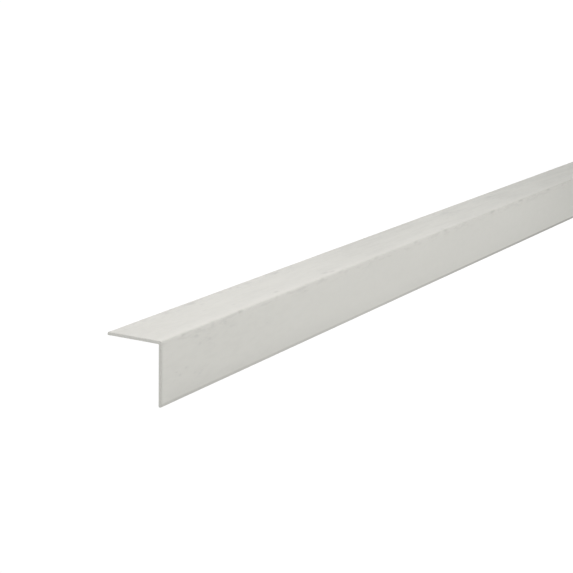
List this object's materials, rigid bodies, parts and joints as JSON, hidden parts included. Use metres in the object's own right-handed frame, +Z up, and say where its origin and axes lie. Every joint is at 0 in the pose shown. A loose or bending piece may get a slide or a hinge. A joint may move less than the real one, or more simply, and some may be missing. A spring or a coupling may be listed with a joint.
{
  "type": "corner guard moulding",
  "caption": "Thin plastic angle trim with equal legs at a right angle, which covers and protects the outside corner of a wall along its length.",
  "frame": {"origin": "on the floor under the middle of the length and of the width, as the guard lies by itself on both leg tips", "axes": "+X along the stock to the far end, which the picture does not show; +Y across, to the side of the leg that is level in the picture; +Z up through the arris"},
  "size_m": [1.2192, 0.04, 0.0208],
  "materials": {
    "white_plastic": "matte warm off-white extruded plastic, finely mottled, with faint lines along its length"
  },
  "bodies": {
    "root": {"corner_guard": "white_plastic"}
  },
  "joints": []
}
